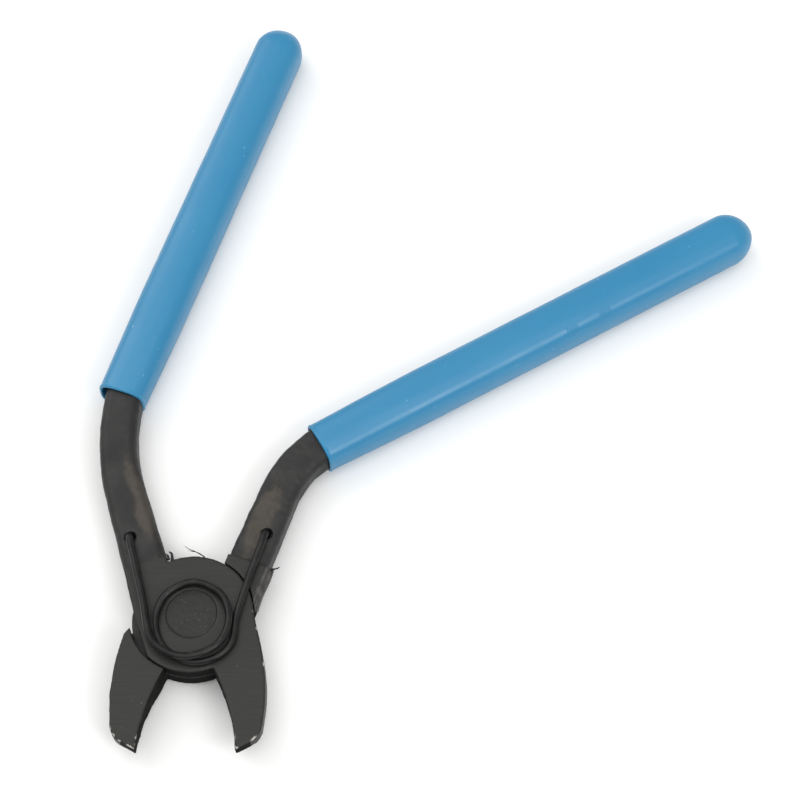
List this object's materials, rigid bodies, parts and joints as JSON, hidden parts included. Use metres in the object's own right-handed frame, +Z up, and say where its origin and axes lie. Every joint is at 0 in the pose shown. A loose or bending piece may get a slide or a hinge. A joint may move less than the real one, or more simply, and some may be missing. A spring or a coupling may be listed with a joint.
{
  "type": "tile nippers",
  "caption": "Hand nippers with crossing forged levers, short cutting jaws, a rivet pivot, a wire return spring coiled round it and offset handles in moulded vinyl sleeves.",
  "frame": {"origin": "on the pivot axis, on the flat back face of the rivet's rear head; the undersides of both grips lie in the same plane", "axes": "+Z up along the pivot axis towards the spring side; +Y from the jaws along the middle of the head towards the handles; +X to the side that both handles lean to"},
  "size_m": [0.2011, 0.246, 0.0178],
  "materials": {
    "lever_steel": "blackened forging with flat-ground hub and jaw faces, oiled satin",
    "rivet_steel": "dark, hammered and speckled",
    "spring_wire": "dark drawn spring wire, semi-gloss",
    "grip_vinyl": "glossy moulded PVC"
  },
  "bodies": {
    "rear_side": {"rear_lever": "lever_steel", "rear_grip": "grip_vinyl", "pivot_rivet": "rivet_steel", "return_spring": "spring_wire"},
    "front_side": {"front_lever": "lever_steel", "front_grip": "grip_vinyl"}
  },
  "joints": [
    {"name": "jaw_pivot", "type": "hinge", "parent": "rear_side", "child": "front_side", "pos_m": [0, 0, 0.0072], "axis": [0, 0, 1], "range_deg": [-38, 0], "stiffness_Nm_per_rad": 2.4, "springref_deg": 11.46, "deforming": ["return_spring"]}
  ]
}
